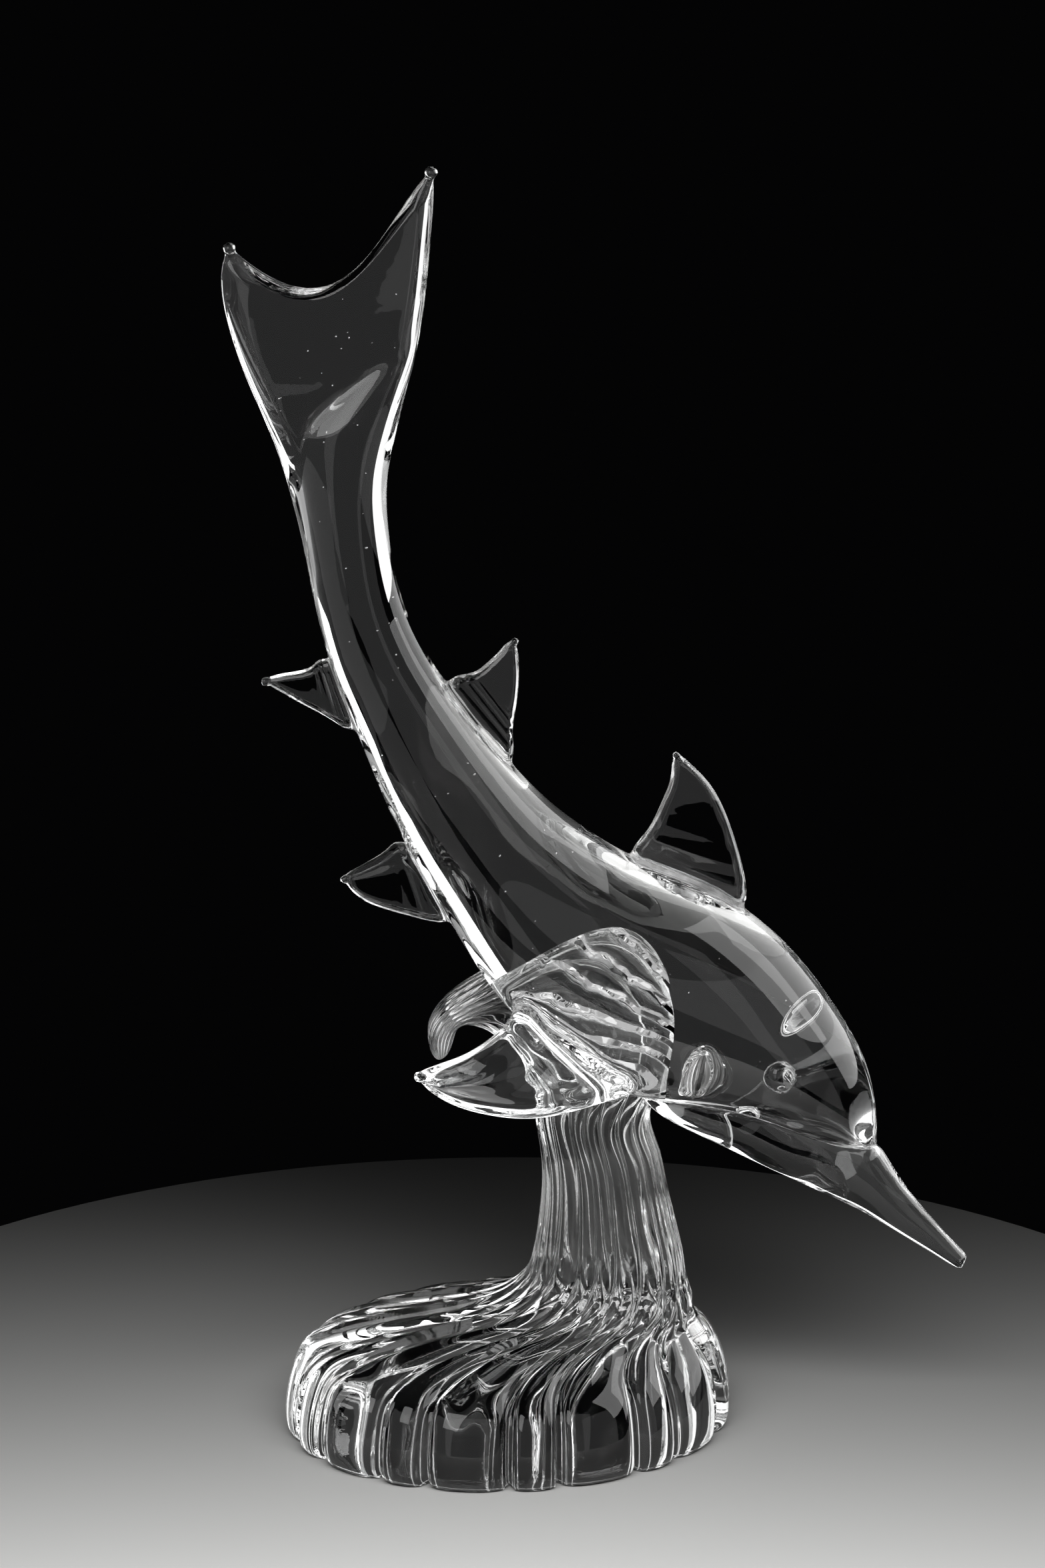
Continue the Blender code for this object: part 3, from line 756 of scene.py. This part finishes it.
# Small bubbles in the body: how many, their radii, between which rows of the body and how far out
seeds = dict(count=70, least=0.12, most=0.34, seed=11, rowFrom=3, rowTo=22, reach=0.75,
             depth=0.6, bend=0.667)
seedDraw = random.Random(seeds["seed"])
seedMesh = bmesh.new()
for turn in range(seeds["count"]):
    row = rowAt(bodyCurve, seedDraw.uniform(seeds["rowFrom"], seeds["rowTo"]) / bodySteps)
    across = seedDraw.uniform(-seeds["reach"], seeds["reach"])
    middle, reach = middleAndReach(*row[:4])
    deep = seedDraw.uniform(-seeds["depth"], seeds["depth"]) * row[4] * math.sqrt(1 - across * across)
    spot = middle + reach * across + sideways * deep
    made = bmesh.ops.create_icosphere(seedMesh, subdivisions=1, radius=millimetre * seedDraw.uniform(
        seeds["least"], seeds["most"]))
    bmesh.ops.translate(seedMesh, verts=made["verts"], vec=spot * millimetre)

# A thin ring of air caught where each eye bead was set on
airRing = dict(radius=5.2, half=0.26, lift=1.2, steps=64, points=10)
for side in (-1, 1):
    middle = eyeMiddle(side) + sideways * (side * airRing["lift"])
    hoops = []
    for step in range(airRing["steps"]):
        turn = 2 * math.pi * step / airRing["steps"]
        out = Vector((math.cos(turn), 0.0, math.sin(turn)))
        hoops.append([])
        for point in range(airRing["points"]):
            angle = 2 * math.pi * point / airRing["points"]
            spot = middle + out * (airRing["radius"] + airRing["half"] * math.cos(angle))
            spot += sideways * (airRing["half"] * math.sin(angle))
            hoops[-1].append(seedMesh.verts.new(spot * millimetre))
    for step in range(airRing["steps"]):
        hoop, following = hoops[step], hoops[(step + 1) % airRing["steps"]]
        for point in range(airRing["points"]):
            beside = (point + 1) % airRing["points"]
            seedMesh.faces.new((hoop[point], hoop[beside], following[beside], following[point]))

seedLook = dict(glassLook, colour=(1.0, 1.0, 1.0), bend=seeds["bend"], rippleDepth=0.0, grainDepth=0.0)
seedCloud = asObject("seeds_in_the_glass", seedMesh, (clearGlass("seed_air", seedLook),))
smoothShade(seedCloud)
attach(seedCloud, "root")
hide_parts("dolphin")
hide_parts("wave_base")
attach(dolphin, "root")
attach(waveBase, "root")
print("wave cut:", len(waveBase.data.polygons), "faces")

# The pale floor
floorLook = dict(radius=0.30, thickness=0.02, gap=0.0002, segments=128, colour=(0.62, 0.62, 0.61),
                 roughness=0.6)
floorMesh = bmesh.new()
bmesh.ops.create_cone(floorMesh, cap_ends=True, segments=floorLook["segments"],
                      radius1=floorLook["radius"], radius2=floorLook["radius"],
                      depth=floorLook["thickness"])
bmesh.ops.translate(floorMesh, verts=floorMesh.verts,
                    vec=(0.0, 0.0, -floorLook["thickness"] / 2 - floorLook["gap"]))
floorMaterial = bpy.data.materials.new("pale_floor")
floorMaterial.use_nodes = True
floorShader = floorMaterial.node_tree.nodes["Principled BSDF"]
floorShader.inputs["Base Color"].default_value = (*floorLook["colour"], 1.0)
floorShader.inputs["Roughness"].default_value = floorLook["roughness"]
floorDisc = asObject("floor", floorMesh, (floorMaterial,))

# Soft studio lights that light the glass alone: degrees to the right of straight back, degrees up,
# distance, width and height, and glow
studio = dict(
    rightBack=dict(azimuth=64.0, elevation=22.0, distance=1.3, size=(1.4, 1.25), glow=2.5),
    overhead=dict(azimuth=40.0, elevation=62.0, distance=1.3, size=(1.1, 0.8), glow=2.4),
    right=dict(azimuth=100.0, elevation=32.0, distance=1.3, size=(0.9, 0.9), glow=2.6),
    left=dict(azimuth=-82.0, elevation=10.0, distance=1.3, size=(0.45, 0.8), glow=1.8),
    leftFill=dict(azimuth=-128.0, elevation=4.0, distance=1.8, size=(1.9, 2.2), glow=0.55),
    rightFill=dict(azimuth=136.0, elevation=2.0, distance=1.8, size=(1.3, 2.0), glow=0.40),
    leftBack=dict(azimuth=-52.0, elevation=-6.0, distance=1.2, size=(0.75, 0.6), glow=1.2),
    frontFill=dict(azimuth=180.0, elevation=18.0, distance=2.6, size=(3.6, 2.6), glow=0.48),
    frontLeft=dict(azimuth=-148.0, elevation=34.0, distance=1.7, size=(0.8, 0.9), glow=2.8),
)
studioMiddle = Vector((0.0, 0.0, 0.25))
# One more lights the floor alone, from the front, so that the floor fades away to the back
floorLamp = dict(place=(0.0, -0.45, 0.50), size=(0.9, 0.3), spread=112.0, glow=5.5)
onFloor, onGlass = bpy.data.collections.new("lit_floor"), bpy.data.collections.new("lit_glass")
onFloor.objects.link(floorDisc)
for thing in (dolphin, waveBase, seedCloud):
    onGlass.objects.link(thing)


def areaLamp(name, lamp, lit):
    data = bpy.data.lights.new(name, 'AREA')
    data.shape = 'RECTANGLE'
    data.size, data.size_y = lamp["size"]
    data.energy = lamp["glow"] * math.pi * data.size * data.size_y
    light = bpy.data.objects.new(name, data)
    bpy.context.scene.collection.objects.link(light)
    light.light_linking.receiver_collection = lit
    return light


for name, lamp in studio.items():
    light = areaLamp(name, lamp, onGlass)
    azimuth, elevation = math.radians(lamp["azimuth"]), math.radians(lamp["elevation"])
    out = Vector((math.sin(azimuth) * math.cos(elevation), math.cos(azimuth) * math.cos(elevation),
                  math.sin(elevation)))
    light.location = studioMiddle + out * lamp["distance"]
    light.rotation_mode = 'QUATERNION'
    light.rotation_quaternion = (-out).to_track_quat('-Z', 'Y')
light = areaLamp("floorLamp", floorLamp, onFloor)
light.data.spread = math.radians(floorLamp["spread"])
light.location = floorLamp["place"]

studioDark = (0.0012, 0.0012, 0.0013, 1.0)
world = bpy.data.worlds.new("dark studio")
world.use_nodes = True
world.node_tree.nodes["Background"].inputs["Color"].default_value = studioDark
bpy.context.scene.world = world

# The camera stands where the photograph was taken from
view = dict(lens=97.7, sensor=36.0, place=(0.005, -1.4554, 0.6047), target=(0.005, 0.0, 0.2418))
cameraData = bpy.data.cameras.new("camera")
cameraData.lens = view["lens"]
cameraData.sensor_width = view["sensor"]
camera = bpy.data.objects.new("camera", cameraData)
camera.location = view["place"]
toward = Vector(view["target"]) - camera.location
camera.rotation_mode = 'QUATERNION'
camera.rotation_quaternion = toward.to_track_quat('-Z', 'Y')
bpy.context.scene.collection.objects.link(camera)
bpy.context.scene.camera = camera

scene = bpy.context.scene
scene.view_settings.view_transform = 'Standard'
scene.view_settings.look = 'None'
glassBounces, glossBounces = 24, 12
scene.cycles.max_bounces = glassBounces
scene.cycles.transmission_bounces = glassBounces
scene.cycles.glossy_bounces = glossBounces
scene.cycles.transparent_max_bounces = glassBounces
scene.cycles.caustics_reflective = False
scene.cycles.caustics_refractive = False
